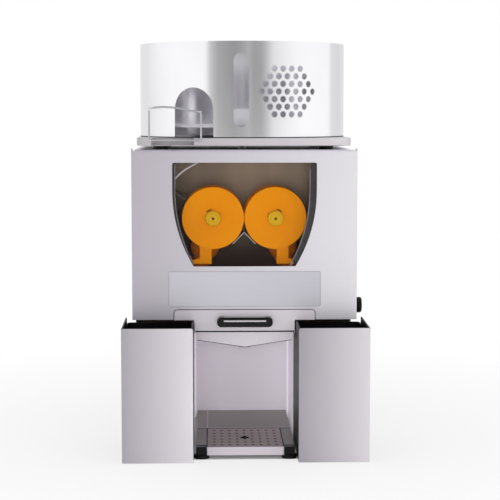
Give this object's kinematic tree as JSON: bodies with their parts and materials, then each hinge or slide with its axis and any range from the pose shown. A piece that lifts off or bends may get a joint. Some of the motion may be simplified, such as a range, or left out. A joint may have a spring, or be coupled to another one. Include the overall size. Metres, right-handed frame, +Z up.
{
  "type": "automatic orange juicer",
  "caption": "Countertop automatic orange juicer: steel body, drum press behind a window, round fruit feeder on top, juice drawer, glass recess and two peel buckets.",
  "frame": {"origin": "middle of the footprint, on the surface the machine stands on", "axes": "+Z up, +X to the right seen from the front, +Y towards the back; the front faces -Y"},
  "size_m": [0.47, 0.62, 0.8],
  "materials": {
    "panel_steel": "fine satin brushed",
    "polished_steel": "mirror polished",
    "chrome_wire": "bright",
    "dark_steel": "satin brushed, warm grey",
    "inner_steel": "satin",
    "bare_plate": "fine matt",
    "black_plastic": "gloss black",
    "bucket_plastic": "smooth satin black",
    "drum_orange": "moulded, satin gloss",
    "knob_yellow": "moulded, satin gloss",
    "ball_orange": "moulded, satin gloss",
    "window": "clear, lightly tinted",
    "gear_plastic": "natural nylon",
    "shaft_steel": "ground",
    "motor_grey": "satin paint",
    "rubber": "matt black",
    "sheet_steel": "satin"
  },
  "bodies": {
    "housing": {"side_panels": "panel_steel", "top_panel": "panel_steel", "press_wall": "inner_steel", "bearing_plate": "inner_steel", "deck_plate": "inner_steel", "recess_shell": "panel_steel", "bottom_plate": "sheet_steel", "rear_cover": "panel_steel", "cover_hinge_pins": "shaft_steel", "drawer_rails": "sheet_steel", "base_frame": "dark_steel", "drip_tray": "sheet_steel", "front_feet": "black_plastic", "housing_feet": "rubber", "shaft_bearings": "shaft_steel", "knife": "polished_steel", "knife_holder": "inner_steel", "peel_ejectors": "drum_orange", "drive_gearmotor": "motor_grey", "fruit_chute": "inner_steel", "feeder_base": "panel_steel", "feeder_spacers": "bucket_plastic", "basket": "polished_steel", "feeder_motor": "motor_grey", "wire_guard": "chrome_wire", "control_box": "motor_grey", "mains_inlet": "black_plastic"},
    "front_cover": {"front_cover": "panel_steel", "cover_corners": "panel_steel", "window_pane": "window", "name_plate": "bare_plate"},
    "juice_drawer": {"drawer_front": "panel_steel", "drawer_apron": "panel_steel", "drawer_handle": "black_plastic", "juice_tray": "sheet_steel"},
    "bucket_left": {"bucket_left": "bucket_plastic", "bucket_plate_left": "panel_steel"},
    "bucket_right": {"bucket_right": "bucket_plastic", "bucket_plate_right": "panel_steel"},
    "drip_grille": {"drip_grille": "dark_steel"},
    "drum_upper_left": {"cup_drum_left": "drum_orange", "shaft_upper_left": "shaft_steel", "gear_upper_left": "gear_plastic"},
    "drum_upper_right": {"cup_drum_right": "drum_orange", "shaft_upper_right": "shaft_steel", "gear_upper_right": "gear_plastic"},
    "drum_lower_left": {"ball_drum_left": "ball_orange", "shaft_lower_left": "shaft_steel", "gear_lower_left": "gear_plastic"},
    "drum_lower_right": {"ball_drum_right": "ball_orange", "shaft_lower_right": "shaft_steel", "gear_lower_right": "gear_plastic"},
    "knob_upper_left": {"drum_knob_upper_left": "knob_yellow"},
    "knob_upper_right": {"drum_knob_upper_right": "knob_yellow"},
    "knob_lower_left": {"drum_knob_lower_left": "knob_yellow"},
    "knob_lower_right": {"drum_knob_lower_right": "knob_yellow"},
    "motor_pinion": {"motor_pinion": "gear_plastic"},
    "feeder_rotor": {"feeder_rotor": "sheet_steel", "feeder_shaft": "shaft_steel"},
    "switch_knob": {"switch_knob": "black_plastic"}
  },
  "joints": [
    {"name": "cover_hinge", "type": "hinge", "parent": "housing", "child": "front_cover", "pos_m": [0, -0.202, 0.59], "axis": [-1, 0, 0], "range_deg": [0, 80]},
    {"name": "drawer_slide", "type": "slide", "parent": "housing", "child": "juice_drawer", "axis": [0, -1, 0], "range_m": [0, 0.11]},
    {"name": "bucket_left_slide", "type": "slide", "parent": "housing", "child": "bucket_left", "axis": [0, -1, 0], "range_m": [0, 0.15]},
    {"name": "bucket_right_slide", "type": "slide", "parent": "housing", "child": "bucket_right", "axis": [0, -1, 0], "range_m": [0, 0.15]},
    {"name": "grille_lift", "type": "slide", "parent": "housing", "child": "drip_grille", "axis": [0, 0, 1], "range_m": [0, 0.06]},
    {"name": "drum_upper_left_turn", "type": "hinge", "parent": "housing", "child": "drum_upper_left", "pos_m": [-0.06125, -0.126, 0.456], "axis": [0, -1, 0], "continuous": true},
    {"name": "drum_upper_right_turn", "type": "hinge", "parent": "housing", "child": "drum_upper_right", "pos_m": [0.06125, -0.126, 0.456], "axis": [0, -1, 0], "continuous": true},
    {"name": "drum_lower_left_turn", "type": "hinge", "parent": "housing", "child": "drum_lower_left", "pos_m": [-0.09295, -0.126, 0.33767], "axis": [0, -1, 0], "continuous": true},
    {"name": "drum_lower_right_turn", "type": "hinge", "parent": "housing", "child": "drum_lower_right", "pos_m": [0.09295, -0.126, 0.33767], "axis": [0, -1, 0], "continuous": true},
    {"name": "knob_upper_left_lock", "type": "hinge", "parent": "drum_upper_left", "child": "knob_upper_left", "pos_m": [-0.06125, -0.181, 0.456], "axis": [0, -1, 0], "range_deg": [0, 60]},
    {"name": "knob_upper_right_lock", "type": "hinge", "parent": "drum_upper_right", "child": "knob_upper_right", "pos_m": [0.06125, -0.181, 0.456], "axis": [0, -1, 0], "range_deg": [0, 60]},
    {"name": "knob_lower_left_lock", "type": "hinge", "parent": "drum_lower_left", "child": "knob_lower_left", "pos_m": [-0.09295, -0.181, 0.33767], "axis": [0, -1, 0], "range_deg": [0, 60]},
    {"name": "knob_lower_right_lock", "type": "hinge", "parent": "drum_lower_right", "child": "knob_lower_right", "pos_m": [0.09295, -0.181, 0.33767], "axis": [0, -1, 0], "range_deg": [0, 60]},
    {"name": "motor_pinion_turn", "type": "hinge", "parent": "housing", "child": "motor_pinion", "pos_m": [0.14758, -0.057, 0.48742], "axis": [0, -1, 0], "continuous": true},
    {"name": "feeder_turn", "type": "hinge", "parent": "housing", "child": "feeder_rotor", "pos_m": [0, 0.013, 0.635], "axis": [0, 0, 1], "continuous": true},
    {"name": "switch_turn", "type": "hinge", "parent": "housing", "child": "switch_knob", "pos_m": [0.226, -0.15, 0.281], "axis": [1, 0, 0], "range_deg": [0, 90]}
  ],
  "couplings": [
    {"joint": "drum_upper_right_turn", "follows": "drum_upper_left_turn", "ratio": -1},
    {"joint": "drum_lower_left_turn", "follows": "drum_upper_left_turn", "ratio": -1},
    {"joint": "drum_lower_right_turn", "follows": "drum_upper_left_turn", "ratio": 1},
    {"joint": "motor_pinion_turn", "follows": "drum_upper_left_turn", "ratio": 2}
  ]
}
